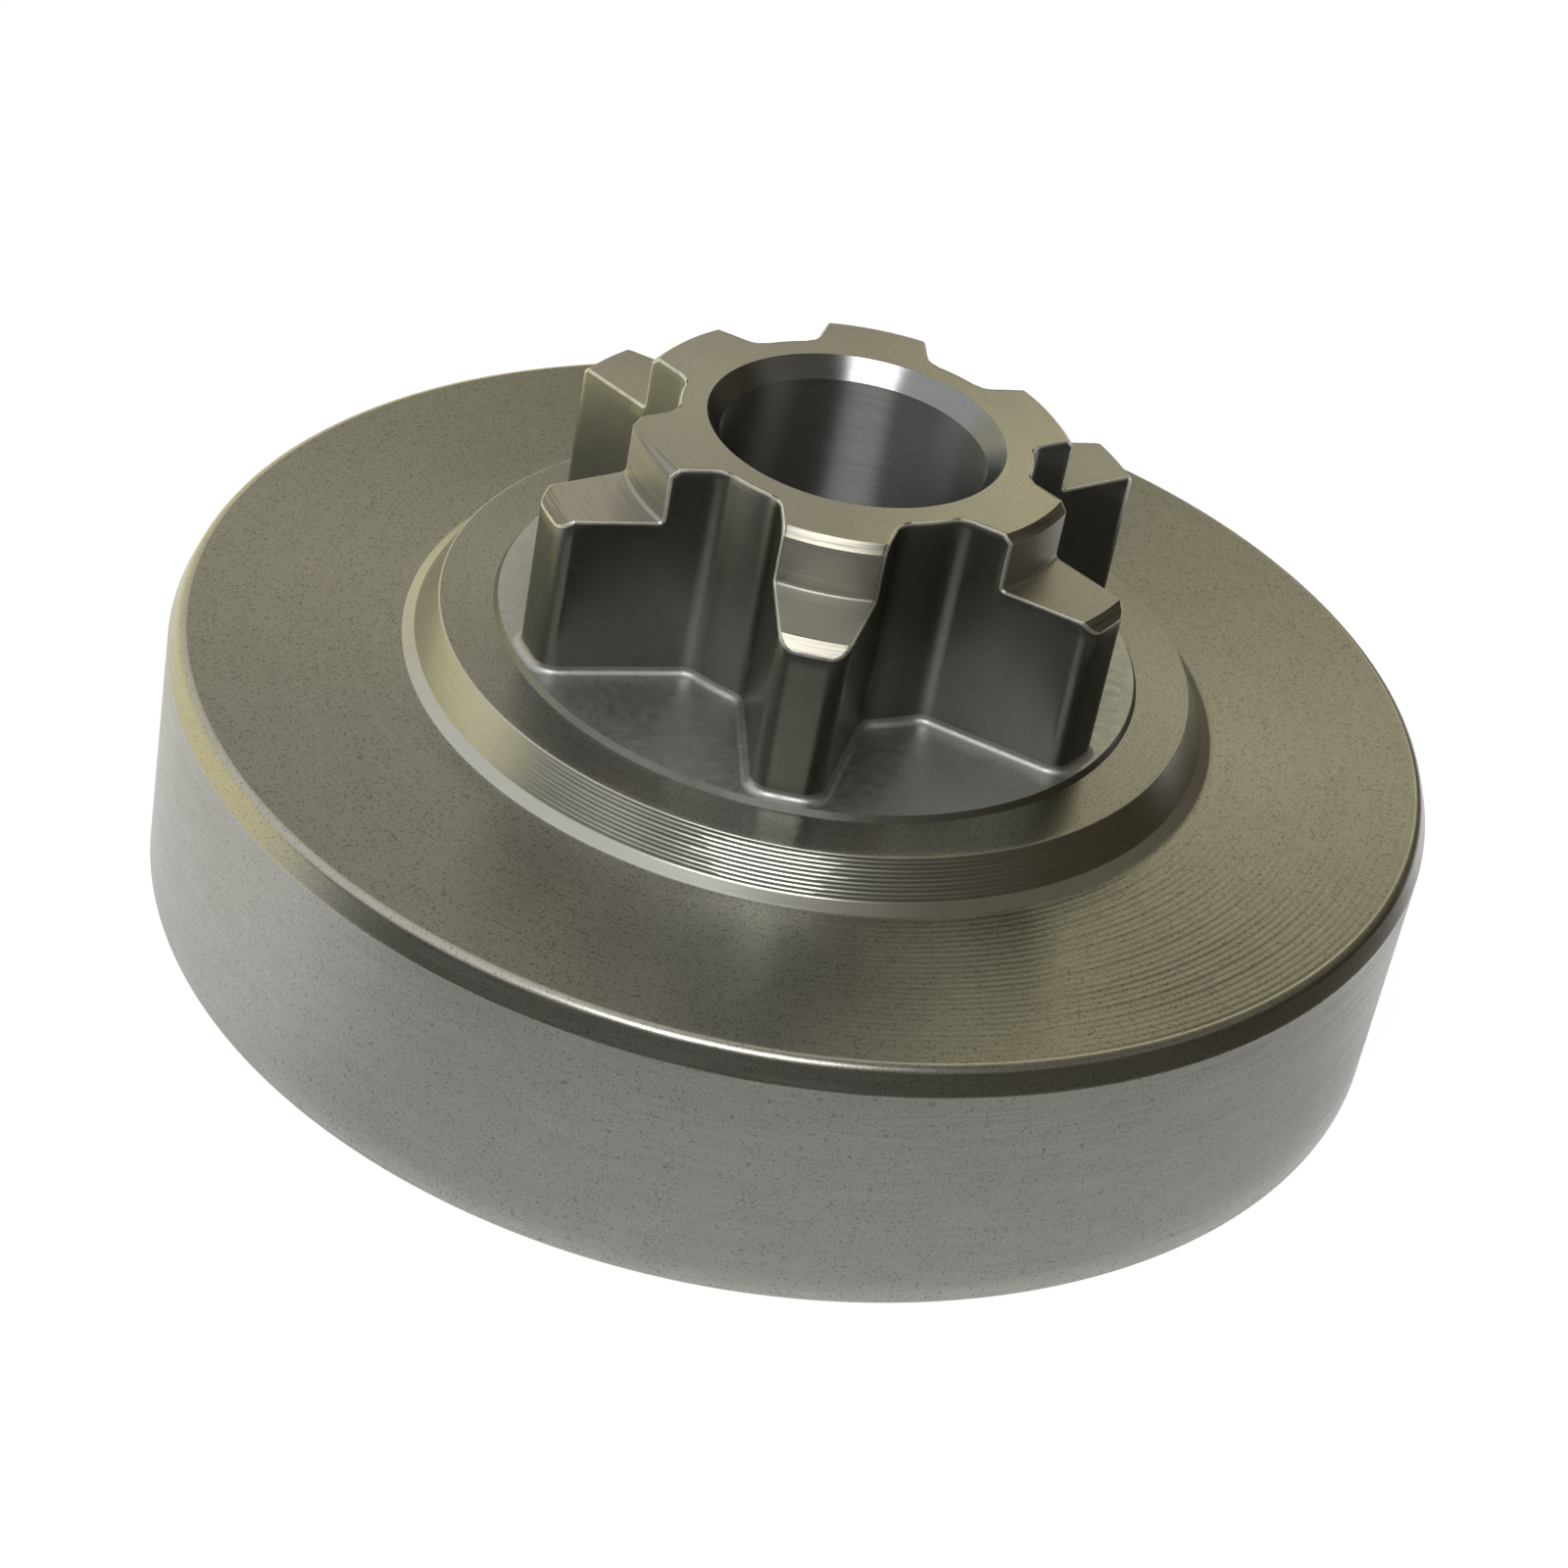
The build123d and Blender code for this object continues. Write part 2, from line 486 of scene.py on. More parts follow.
def tooth_plan(teeth):
    """One flank of a tooth seen from above: its line, and the centres of its two corner arcs."""
    along = Vector((cos(teeth.flank_lean), -sin(teeth.flank_lean)))
    out = Vector((sin(teeth.flank_lean), cos(teeth.flank_lean)))
    half_width_at_axis = teeth.mid_width / 2 + tan(teeth.flank_lean) * teeth.mid_radius
    from_axis = half_width_at_axis * cos(teeth.flank_lean)

    def centre(circle, aside):
        return out * aside + along * sqrt(circle ** 2 - aside ** 2)

    tip = centre(teeth.tip_radius - teeth.tip_corner, from_axis - teeth.tip_corner)
    root = centre(teeth.root_radius + teeth.root_corner, from_axis + teeth.root_corner)
    return SimpleNamespace(
        along=along,
        out=out,
        from_axis=from_axis,
        tip=tip,
        root=root,
        tip_end=(tip + out * teeth.tip_corner).length,
        root_end=(root - out * teeth.root_corner).length,
    )


def side_of_tooth(teeth, plan, radius):
    """Where a tooth's side passes a radius: its turn from the tooth's middle, and the way it faces."""
    if plan.root_end <= radius <= plan.tip_end:
        point = plan.out * plan.from_axis + plan.along * sqrt(radius ** 2 - plan.from_axis ** 2)
        facing = plan.out
    else:
        at_tip = radius > plan.tip_end
        centre = plan.tip if at_tip else plan.root
        corner = teeth.tip_corner if at_tip else teeth.root_corner
        away = (radius ** 2 - corner ** 2 + centre.length_squared) / (2 * centre.length)
        aside = sqrt(max(0.0, radius ** 2 - away ** 2)) * (1 if at_tip else -1)
        point = rotated(Vector((away, aside)), atan2(centre.y, centre.x))
        facing = (point - centre) if at_tip else (centre - point)
    return atan2(point.y, point.x), atan2(facing.y, facing.x)


def side_radii(teeth, at, plan):
    """The radii of the columns down a tooth's side, from its tip to the bottom of the gap."""
    def on_arc(centre, corner, sign):
        turns = between(0.0, sign * centre.angle(plan.out), CORNER_STEPS)
        return [(centre + rotated(centre.normalized(), turn) * sign * corner).length for turn in turns]

    tip_arc = on_arc(plan.tip, teeth.tip_corner, 1)[1:-1]
    root_arc = on_arc(plan.root, teeth.root_corner, -1)[1:-1]
    foot_turns = between(0.0, pi / 2, COLLAR_FOOT_STEPS)
    return [
        *sorted({teeth.tip_radius, at.chamfer_top, *tip_arc, plan.tip_end}, reverse=True),
        *between(plan.tip_end, teeth.collar_radius + teeth.collar_foot, STEP_ROWS)[1:-1],
        *[teeth.collar_radius + teeth.collar_foot * (1 - sin(turn)) for turn in foot_turns],
        *between(at.collar_edge, plan.root_end, CROWN_ROWS),
        *reversed(root_arc),
        teeth.root_radius,
    ]


def blank_top(teeth, at, radius):
    """Height of the turned blank's top at a radius, on the inner side of the collar's wall."""
    foot_end = teeth.collar_radius + teeth.collar_foot
    if radius <= teeth.collar_radius + SAME_POINT:
        return at.collar_top - max(0.0, radius - at.collar_edge)
    if radius < foot_end:
        into = foot_end - radius
        return at.step_top + teeth.collar_foot - sqrt(teeth.collar_foot ** 2 - into ** 2)
    return at.step_top - max(0.0, radius - at.chamfer_top)


def outline(teeth, at, plan):
    """One tooth pitch of the sprocket's outline, as lists of columns from gap to gap."""
    half_pitch = pi / teeth.teeth
    tip_turn = side_of_tooth(teeth, plan, teeth.tip_radius)[0]
    root_turn = side_of_tooth(teeth, plan, teeth.root_radius)[0]
    gap_spread = (root_turn + half_pitch) / 2

    side = []
    for radius in side_radii(teeth, at, plan):
        turn, facing = side_of_tooth(teeth, plan, radius)
        down = (teeth.tip_radius - radius) / (teeth.tip_radius - teeth.root_radius)
        side.append(Station(radius, turn, facing, tip_turn + (gap_spread - tip_turn) * down))
    tip_turns = between(-tip_turn, tip_turn, TIP_COLUMNS)
    tip = [Station(teeth.tip_radius, turn, turn, turn) for turn in tip_turns]
    turns = between(root_turn, half_pitch, HALF_GAP_COLUMNS)
    spreads = between(gap_spread, half_pitch, HALF_GAP_COLUMNS)
    gap = [Station(teeth.root_radius, turn, turn, spread) for turn, spread in zip(turns, spreads)]

    def mirrored(columns):
        return [Station(c.radius, -c.angle, -c.facing, -c.spread) for c in reversed(columns)]

    return [mirrored(gap), mirrored(side), tip, side, gap]


def on_outline(station, middle, aside, height):
    """The point at a column of the outline, moved aside from the tooth by a distance."""
    outward = polar(aside, station.facing + middle, 0.0)
    return polar(station.radius, station.angle + middle, height) + outward


def tooth_sides(skin, teeth, at, stretches, middle):
    """Flanks, tip and gap bottoms of one tooth, from the foot's fillet to the top edges."""
    def upright(columns, low, tops, rows):
        lines = []
        for share in between(0.0, 1.0, rows):
            heights = [low + (top - low) * share for top in tops]
            lines.append([on_outline(c, middle, 0.0, z) for c, z in zip(columns, heights)])
        skin.grid(lines, "flank", place=Skin.SIDE)

    for columns in stretches:
        inside = [c for c in columns if c.radius <= teeth.collar_radius + SAME_POINT]
        tops = [at.shoulder if c in inside else blank_top(teeth, at, c.radius) for c in columns]
        upright(columns, at.wall_foot, tops, WALL_ROWS)
        if inside:
            upright(inside, at.shoulder, [blank_top(teeth, at, c.radius) for c in inside], COLLAR_ROWS)


def tooth_top(skin, teeth, at, plan, middle):
    """The turned top of one tooth: tip chamfer, step, collar with its chamfer, and hub top."""
    def across(radius, height):
        reach = side_of_tooth(teeth, plan, radius)[0]
        return ring(radius, height, between(middle - reach, middle + reach, TIP_COLUMNS))

    def rows_between(high, low, choices):
        kept = [r for r in choices if low - SAME_POINT <= r <= high + SAME_POINT]
        return [across(r, blank_top(teeth, at, r)) for r in kept]

    radii = side_radii(teeth, at, plan)
    outside = [r for r in radii if r > teeth.collar_radius + SAME_POINT]
    inside = [r for r in radii if r <= teeth.collar_radius + SAME_POINT]
    wall_top = at.collar_top - teeth.collar_chamfer
    wall = [across(teeth.collar_radius, z) for z in between(at.shoulder, wall_top, COLLAR_ROWS)]
    step = [*rows_between(at.chamfer_top, teeth.collar_radius, outside), wall[0]]
    skin.grid(rows_between(teeth.tip_radius, at.chamfer_top, outside), "glint", place=Skin.TOP)
    skin.grid(step, "turned", place=Skin.TOP)
    skin.grid(wall, "turned", place=Skin.TOP)
    skin.grid(rows_between(teeth.collar_radius, at.collar_edge, inside), "glint", place=Skin.TOP)
    skin.grid(rows_between(at.collar_edge, teeth.root_radius, inside), "crown", place=Skin.TOP)


def sprocket_feet(skin, teeth, at, pitches):
    """Fillets round the tooth feet, pocket floors and the disc's sloping edge; returns the last ring."""
    columns = [(c, middle) for middle, stretches in pitches for part in stretches for c in part[:-1]]
    spread = [c.spread + middle for c, middle in columns]
    foot = teeth.foot_radius
    rows = []
    for turn in between(0.0, pi / 2, FOOT_STEPS):
        height = at.disc_top + foot * (1 - sin(turn))
        rows.append([on_outline(c, middle, foot * (1 - cos(turn)), height) for c, middle in columns])
    skin.grid(rows, "formed", closed=True)

    edge = ring(at.disc_radius, at.disc_top, spread)
    lines = []
    for near, far in zip(rows[-1], edge):
        close = min(WIDEST_BESIDE, BESIDE_EDGE / (far - near).length)
        lines.append([near.lerp(far, share) for share in (0.0, close, 0.5, 1 - close, 1.0)])
    skin.grid(list(zip(*lines)), "formed", closed=True)

    foot_ring = ring(at.disc_radius + teeth.disc_spread, at.pad_top, spread)
    skin.grid([edge, foot_ring], "flank", closed=True)
    return foot_ring


def hub_middle(skin, teeth, bore, at, pitches):
    """The hub's top ring, the lead-in cone and the bore down to the cup; returns the last ring."""
    turns = []
    for middle, stretches in pitches:
        gap = [c.angle for c in stretches[-1]]
        turns += [middle - turn for turn in reversed(gap[1:])]
        turns += between(middle - gap[0], middle + gap[0], TIP_COLUMNS)[:-1]
        turns += [middle + turn for turn in gap[:-1]]
    lead_edge = bore.radius + bore.lead_width
    lead_foot = at.collar_top - bore.lead_depth
    back = at.cavity_top + bore.back_chamfer
    crown = [ring(r, at.collar_top, turns) for r in between(teeth.root_radius, lead_edge, CROWN_RINGS)]
    bored = [ring(bore.radius, z, turns) for z in between(lead_foot, back, BORE_ROWS)]
    last = ring(bore.radius + bore.back_chamfer, at.cavity_top, turns)
    skin.grid(crown, "crown", closed=True, place=Skin.TOP)
    skin.grid([crown[-1], bored[0]], "lead", closed=True)
    skin.grid(bored, "bored", closed=True)
    skin.grid([bored[-1], last], "broken", closed=True)
    return last


def drum_mesh(scene):
    """The whole part as one closed mesh."""
    drum, teeth, bore = scene.drum_sizes, scene.sprocket_sizes, scene.bore_sizes
    at = levels(drum, teeth)
    plan = tooth_plan(teeth)
    pitch = 2 * pi / teeth.teeth
    pitches = [(teeth.first_tooth + pitch * i, outline(teeth, at, plan)) for i in range(teeth.teeth)]
    turns = even_turns(teeth.first_tooth - pitch / 2)

    skin = Skin()
    for middle, stretches in pitches:
        tooth_sides(skin, teeth, at, stretches, middle)
        tooth_top(skin, teeth, at, plan, middle)
    disc_foot = sprocket_feet(skin, teeth, at, pitches)
    bore_end = hub_middle(skin, teeth, bore, at, pitches)

    pad_inner = at.disc_radius + teeth.disc_spread + JOINING_RING
    stretches = drum_stretches(drum, scene.cut_marks, at)
    pad_outer = stretches[0].points[0].x
    skin.stitch(disc_foot, ring(pad_inner, at.pad_top, turns), "faced")
    pad = [ring(r, at.pad_top, turns) for r in between(pad_inner, pad_outer, PAD_RINGS)]
    skin.grid(pad, "faced", closed=True)
    for stretch in stretches:
        skin.grid(turned_rows(stretch, turns, scene.cut_marks.least), stretch.finish, closed=True)
    ceiling = ring(stretches[-1].points[-1].x, at.cavity_top, turns)
    skin.stitch(bore_end, ceiling, "cavity")
    return skin.finished(teeth.edge_break)


def node(tree, kind, settings, inputs):
    """Adds a shader node with its settings, and gives each input a value or a link."""
    made = tree.nodes.new("ShaderNode" + kind)
    for name, value in settings.items():
        setattr(made, name, value)
    for name, value in inputs.items():
        if isinstance(value, bpy.types.NodeSocket):
            tree.links.new(value, made.inputs[name])
        else:
            made.inputs[name].default_value = value
    return made


def maths(tree, operation, first, second):
    """What an operation makes of two numbers."""
    return node(tree, "Math", {"operation": operation}, {0: first, 1: second}).outputs[0]


def blank_material(name):
    """A material with no nodes yet."""
    material = bpy.data.materials.new(name)
    material.use_nodes = True
    material.node_tree.nodes.clear()
    return material


def new_steel(name, base, roughness, stretch):
    """A bare steel material, with its places on the part and its shader ready for a finish."""
    material = blank_material(name)
    tree = material.node_tree
    tangent = node(tree, "Tangent", {"direction_type": "RADIAL", "axis": "Z"}, {})
    shader = node(tree, "BsdfPrincipled", {}, {
        "Base Color": (*base, 1.0),
        "Metallic": 1.0,
        "Roughness": roughness,
        "Anisotropic": stretch,
        "Anisotropic Rotation": 0.25,
        "Tangent": tangent.outputs["Tangent"],
    })
    node(tree, "OutputMaterial", {}, {"Surface": shader.outputs["BSDF"]})
    spot = node(tree, "TexCoord", {}, {})
    scaled = node(tree, "VectorMath", {"operation": "SCALE"}, {
        0: spot.outputs["Object"], "Scale": 1 / MM,
    })
    flat = node(tree, "VectorMath", {"operation": "MULTIPLY"}, {
        0: scaled.outputs[0], 1: (1.0, 1.0, 0.0),
    })
    radius = node(tree, "VectorMath", {"operation": "LENGTH"}, {0: flat.outputs[0]})
    axes = node(tree, "SeparateXYZ", {}, {0: scaled.outputs[0]})
    return SimpleNamespace(
        material=material,
        tree=tree,
        shader=shader,
        base=base,
        spot=scaled.outputs[0],
        flat=flat.outputs[0],
        radius=radius.outputs["Value"],
        height=axes.outputs["Z"],
        reach=maths(tree, "ADD", radius.outputs["Value"], axes.outputs["Z"]),
    )


def tool_lines(steel, across, spacing, run):
    """Streaks that run round the axis: fine across, long round; both sizes in millimetres."""
    tree = steel.tree
    lifted = node(tree, "CombineXYZ", {}, {"Z": maths(tree, "DIVIDE", across, spacing)})
    place = node(tree, "VectorMath", {"operation": "MULTIPLY_ADD"}, {
        0: steel.flat, 1: (1 / run, 1 / run, 0.0), 2: lifted.outputs[0],
    })
    return node(tree, "TexNoise", {}, {
        "Vector": place.outputs[0], "Scale": 1.0, "Detail": 2.0, "Roughness": 0.6,
    }).outputs["Fac"]


def grain(steel, size, detail):
    """Cloudy variation with patches of about a size in millimetres."""
    return node(steel.tree, "TexNoise", {}, {
        "Vector": steel.spot, "Scale": 1 / size, "Detail": detail, "Roughness": 0.6,
    }).outputs["Fac"]


def hollows(steel, pattern, share):
    """Mask of a pattern's low parts: 1 below a share, 0 a little above it."""
    return node(steel.tree, "MapRange", {"interpolation_type": "SMOOTHSTEP"}, {
        "Value": pattern, "From Min": share + 0.06, "From Max": share, "To Min": 0.0, "To Max": 1.0,
    }).outputs["Result"]


def pores(steel, size, share):
    """Mask of the dark pores that sintered steel shows: 1 in a pore, 0 between them."""
    return hollows(steel, grain(steel, size, 1.0), share)


def shade_colour(steel, mask, darker):
    """Multiplies the base colour by a mask, from full colour at 0 down to a darker share at 1."""
    shader = steel.shader
    linked = shader.inputs["Base Color"].links
    before = linked[0].from_socket if linked else (*steel.base, 1.0)
    tone = node(steel.tree, "MapRange", {}, {"Value": mask, "To Min": 1.0, "To Max": darker})
    mixed = node(steel.tree, "Mix", {"data_type": "RGBA", "blend_type": "MULTIPLY"}, {
        0: 1.0, 6: before, 7: tone.outputs["Result"],
    })
    steel.tree.links.new(mixed.outputs[2], shader.inputs["Base Color"])


def vary_roughness(steel, mask, smooth, rough):
    """Roughness that follows a mask between two values."""
    spread = node(steel.tree, "MapRange", {}, {
        "Value": mask, "From Min": 0.3, "From Max": 0.7, "To Min": smooth, "To Max": rough,
    })
    steel.tree.links.new(spread.outputs["Result"], steel.shader.inputs["Roughness"])


def raise_surface(steel, height, relief):
    """Fine relief of a depth in millimetres, on top of any that is there already."""
    shader = steel.shader
    linked = shader.inputs["Normal"].links
    settings = {"Height": height, "Strength": 1.0, "Distance": relief * MM}
    if linked:
        settings["Normal"] = linked[0].from_socket
    bump = node(steel.tree, "Bump", {}, settings)
    steel.tree.links.new(bump.outputs["Normal"], shader.inputs["Normal"])


def faced_steel(name, base):
    """Sintered steel, faced on a lathe: satin, clouded and finely pitted between its feed marks."""
    steel = new_steel(name, base, 0.28, 0.9)
    shade_colour(steel, tool_lines(steel, steel.radius, 0.25, 9.0), 0.84)
    shade_colour(steel, pores(steel, 0.12, 0.36), 0.58)
    shade_colour(steel, grain(steel, 3.0, 3.0), 0.88)
    vary_roughness(steel, grain(steel, 0.4, 2.0), 0.278, 0.3)
    raise_surface(steel, grain(steel, 0.11, 1.0), 0.0016)
    return steel.material


def wall_steel(name, base):
    """Sintered steel, turned to size: nearly matt, with faint level lines and many small dark pores."""
    steel = new_steel(name, base, 0.36, 0.5)
    lines = tool_lines(steel, steel.height, 0.14, 5.0)
    shade_colour(steel, pores(steel, 0.1, 0.33), 0.6)
    shade_colour(steel, pores(steel, 0.3, 0.27), 0.75)
    shade_colour(steel, grain(steel, 2.2, 3.0), 0.88)
    shade_colour(steel, lines, 0.9)
    vary_roughness(steel, lines, 0.32, 0.42)
    raise_surface(steel, lines, 0.003)
    raise_surface(steel, grain(steel, 0.1, 1.0), 0.004)
    return steel.material


def rolled_steel(name, base):
    """Steel bevelled by a blunt tool: glossy, so it mirrors the studio in a clear narrow band."""
    steel = new_steel(name, base, 0.3, 0.3)
    lines = tool_lines(steel, steel.height, 0.12, 3.0)
    shade_colour(steel, pores(steel, 0.1, 0.34), 0.6)
    vary_roughness(steel, lines, 0.28, 0.33)
    raise_surface(steel, lines, 0.004)
    raise_surface(steel, grain(steel, 0.16, 2.0), 0.003)
    return steel.material


def pad_side_steel(name, base):
    """Steel cut with a pointed tool at a coarse feed: bright, with a glint on every ridge."""
    steel = new_steel(name, base, 0.3, 0.4)
    lines = tool_lines(steel, steel.height, 0.1, 4.0)
    shade_colour(steel, grain(steel, 1.2, 3.0), 0.85)
    vary_roughness(steel, lines, 0.28, 0.33)
    raise_surface(steel, lines, 0.004)
    return steel.material


def formed_steel(name, base):
    """Steel as it left the die: slate grey and finely grained, with no tool marks."""
    steel = new_steel(name, base, 0.46, 0.0)
    shade_colour(steel, pores(steel, 0.11, 0.32), 0.75)
    shade_colour(steel, grain(steel, 1.0, 3.0), 0.85)
    vary_roughness(steel, grain(steel, 0.5, 2.0), 0.4, 0.52)
    raise_surface(steel, grain(steel, 0.12, 2.0), 0.004)
    return steel.material


def flank_steel(name, base):
    """Steel pressed along the die's wall: dark and smooth, with the faintest upright streaks."""
    steel = new_steel(name, base, 0.31, 0.0)
    streaks = node(steel.tree, "TexNoise", {}, {
        "Vector": steel.flat, "Scale": 1 / 0.8, "Detail": 2.0, "Roughness": 0.5,
    }).outputs["Fac"]
    shade_colour(steel, streaks, 0.88)
    shade_colour(steel, grain(steel, 0.2, 2.0), 0.85)
    vary_roughness(steel, grain(steel, 0.8, 2.0), 0.29, 0.34)
    raise_surface(steel, streaks, 0.002)
    raise_surface(steel, grain(steel, 0.12, 1.0), 0.0005)
    return steel.material


def turned_steel(name, base):
    """Steel turned at a medium feed: clear level lines that smear light up and down the surface, with
    painted shade in their hollows.
    """
    steel = new_steel(name, base, 0.44, 0.6)
    lines = tool_lines(steel, steel.reach, 0.15, 6.0)
    # Painted shade: the colour darkens in the hollows of the level lines
    shade_colour(steel, hollows(steel, lines, 0.42), 0.87)
    shade_colour(steel, lines, 0.9)
    vary_roughness(steel, lines, 0.4, 0.48)
    raise_surface(steel, lines, 0.012)
    return steel.material


def crown_steel(name, base):
    """Steel faced with a fine feed: satin, with hair-thin arcs round the bore."""
    steel = new_steel(name, base, 0.3, 0.4)
    rings = tool_lines(steel, steel.radius, 0.1, 3.0)
    shade_colour(steel, rings, 0.86)
    shade_colour(steel, pores(steel, 0.1, 0.32), 0.7)
    vary_roughness(steel, rings, 0.28, 0.32)
    raise_surface(steel, rings, 0.003)
    return steel.material


def glint_steel(name, base):
    """Steel chamfered with a chattering tool: level ridges that glitter, with painted shade darkening the
    hollows between them.
    """
    steel = new_steel(name, base, 0.3, 0.3)
    ridges = tool_lines(steel, steel.height, 0.15, 6.0)
    # Painted shade: the colour darkens in the hollows between the ridges
    shade_colour(steel, hollows(steel, ridges, 0.46), 0.72)
    vary_roughness(steel, ridges, 0.28, 0.33)
    raise_surface(steel, ridges, 0.014)
    return steel.material


def lead_steel(name, base):
    """Steel cut clean in one pass: smooth and cool, with a soft bright spot."""
    steel = new_steel(name, base, 0.24, 0.5)
    rings = tool_lines(steel, steel.height, 0.1, 5.0)
    shade_colour(steel, rings, 0.85)
    vary_roughness(steel, rings, 0.21, 0.26)
    raise_surface(steel, rings, 0.003)
    return steel.material


def bored_steel(name, base):
    """Steel bored for a bearing: dark, with rings so fine that light smears into an upright streak."""
    steel = new_steel(name, base, 0.4, 1.0)
    lines = tool_lines(steel, steel.height, 0.12, 4.0)
    shade_colour(steel, lines, 0.85)
    vary_roughness(steel, lines, 0.37, 0.43)
    return steel.material


def cavity_steel(name, base):
    """Steel turned inside the cup, where the shoes rub: satin, with level lines and pores."""
    steel = new_steel(name, base, 0.34, 0.4)
    lines = tool_lines(steel, steel.radius, 0.16, 5.0)
    shade_colour(steel, pores(steel, 0.1, 0.34), 0.6)
    shade_colour(steel, grain(steel, 2.5, 3.0), 0.85)
    vary_roughness(steel, lines, 0.28, 0.4)
    raise_surface(steel, lines, 0.004)
    return steel.material


def broken_edge_painted_glint_steel(name, base):
    """Bare steel where a tool broke the edge, coloured paler than the rest as a partly painted highlight:
    ragged, so it glitters here and there in a thin line.
    """
    steel = new_steel(name, base, 0.45, 0.0)
    ragged = grain(steel, 0.25, 3.0)
    shade_colour(steel, ragged, 0.6)
    vary_roughness(steel, ragged, 0.3, 0.6)
    raise_surface(steel, ragged, 0.03)
    return steel.material


# The material of each finish, in the order of the piece's material slots
MAKERS = {
    "faced": ("sintered_steel_faced", faced_steel),
    "wall": ("sintered_steel_turned_wall", wall_steel),
    "rolled": ("steel_rolled_edge", rolled_steel),
    "pad_side": ("steel_coarse_turned", pad_side_steel),
    "formed": ("sintered_steel_die_formed", formed_steel),
    "flank": ("sintered_steel_die_wall", flank_steel),
    "turned": ("steel_turned", turned_steel),
    "crown": ("steel_fine_faced", crown_steel),
    "glint": ("steel_chattered_chamfer", glint_steel),
    "lead": ("steel_clean_cut", lead_steel),
    "bored": ("steel_bored", bored_steel),
    "cavity": ("sintered_steel_turned_inside", cavity_steel),
    "broken": ("steel_broken_edge", broken_edge_painted_glint_steel),
}
FINISHES = tuple(MAKERS)


class CLUTCHDRUM_OT_drum(bpy.types.Operator):
    """Build the drum with its sprocket, as one closed mesh with a finish for each machined surface"""

    bl_idname = "clutch_drum.build_drum"
    bl_label = "Build the drum"

    def execute(self, context):
        scene = context.scene
        piece = in_scene("clutch_drum_finished", drum_mesh(scene))
        for finish, (name, make) in MAKERS.items():
            piece.data.materials.append(make(name, tuple(getattr(scene.steel_colours, finish))))
        normals = piece.modifiers.new("flat_faces_stay_flat", "WEIGHTED_NORMAL")
        normals.keep_sharp = True
        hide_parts(NODE)
        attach(piece, BODY)
        return {"FINISHED"}


def towards(turn, elevation, distance):
    """A place seen from the part: degrees to the right of the camera, degrees up, and metres away."""
    level = cos(radians(elevation)) * distance
    return Vector((
        sin(radians(turn)) * level, -cos(radians(turn)) * level, sin(radians(elevation)) * distance,
    ))


def shows_background(tree):
    """1 for the rays that see the studio's white: camera, glossy and transmission rays."""
    rays = node(tree, "LightPath", {}, {}).outputs
    mirrored = maths(tree, "MAXIMUM", rays["Is Glossy Ray"], rays["Is Transmission Ray"])
    return maths(tree, "MAXIMUM", rays["Is Camera Ray"], mirrored)


def studio_floor(studio, drum):
    """A pale matt floor that reads as white but keeps the shadow; nothing lights it inside the cup."""
    below_rim, brightness, paint_grey = 0.02 * MM, 0.93, 0.1
    build = bmesh.new()
    bmesh.ops.create_circle(build, cap_ends=True, segments=96, radius=studio.floor_radius)
    floor = in_scene("studio_floor", mesh_of(build, "studio_floor"))
    floor.location.z = -below_rim

    material = blank_material("floor_matt_white_paint")
    tree = material.node_tree
    spot = node(tree, "TexCoord", {}, {})
    from_axis = node(tree, "VectorMath", {"operation": "LENGTH"}, {0: spot.outputs["Object"]})
    outside = maths(tree, "GREATER_THAN", from_axis.outputs["Value"], drum.radius - drum.wall)
    lit = maths(tree, "MULTIPLY", shows_background(tree), outside)
    light = node(tree, "Emission", {}, {"Strength": maths(tree, "MULTIPLY", lit, brightness)})
    paint = node(tree, "BsdfDiffuse", {}, {"Color": (*[paint_grey] * 3, 1.0)})
    both = node(tree, "AddShader", {}, {0: light.outputs[0], 1: paint.outputs[0]})
    node(tree, "OutputMaterial", {}, {"Surface": both.outputs[0]})
    floor.data.materials.append(material)


def studio_card(name, rows, tint, strength):
    """A curved card seen only in the part's reflections, from rows of (place, cover from 0 to 1)."""
    build = bmesh.new()
    cover = build.verts.layers.float.new("cover")
    corners = []
    for row in rows:
        corners.append([build.verts.new(place) for place, _ in row])
        for vert, (_, share) in zip(corners[-1], row):
            vert[cover] = share
    for near, far in zip(corners, corners[1:]):
        for i in range(len(near) - 1):
            build.faces.new((near[i], near[i + 1], far[i + 1], far[i]))
    card = in_scene(name, mesh_of(build, name))

    material = blank_material(name + "_paper")
    tree = material.node_tree
    covered = node(tree, "Attribute", {"attribute_name": "cover"}, {})
    clear = node(tree, "BsdfTransparent", {}, {})
    paper = node(tree, "Emission", {}, {"Color": (*linear(tint), 1.0), "Strength": strength})
    mixed = node(tree, "MixShader", {}, {
        0: covered.outputs["Fac"], 1: clear.outputs[0], 2: paper.outputs[0],
    })
    node(tree, "OutputMaterial", {}, {"Surface": mixed.outputs[0]})
    card.data.materials.append(material)
    for rays in ("camera", "diffuse", "shadow", "transmission"):
        setattr(card, "visible_" + rays, False)


def faded(share, edge):
    """Cover of a card at a share from -1 to 1 across it, falling smoothly to nothing at its edges."""
    inside = min(1.0, (1 - abs(share)) / edge)
    return inside ** 2 * (3 - 2 * inside)


def far_card(name, distance, turn, elevation, wide, high, edge, tint, strength):
    """A card well away from the part, by the direction of its middle and its size, in degrees."""
    def spot(u, v):
        place = towards(turn + u * wide / 2, elevation + v * high / 2, distance)
        return place, faded(u, edge) * faded(v, edge)

    shares = between(-1.0, 1.0, FAR_CARD_STEPS)
    studio_card(name, [[spot(u, v) for u in shares] for v in shares], tint, strength)


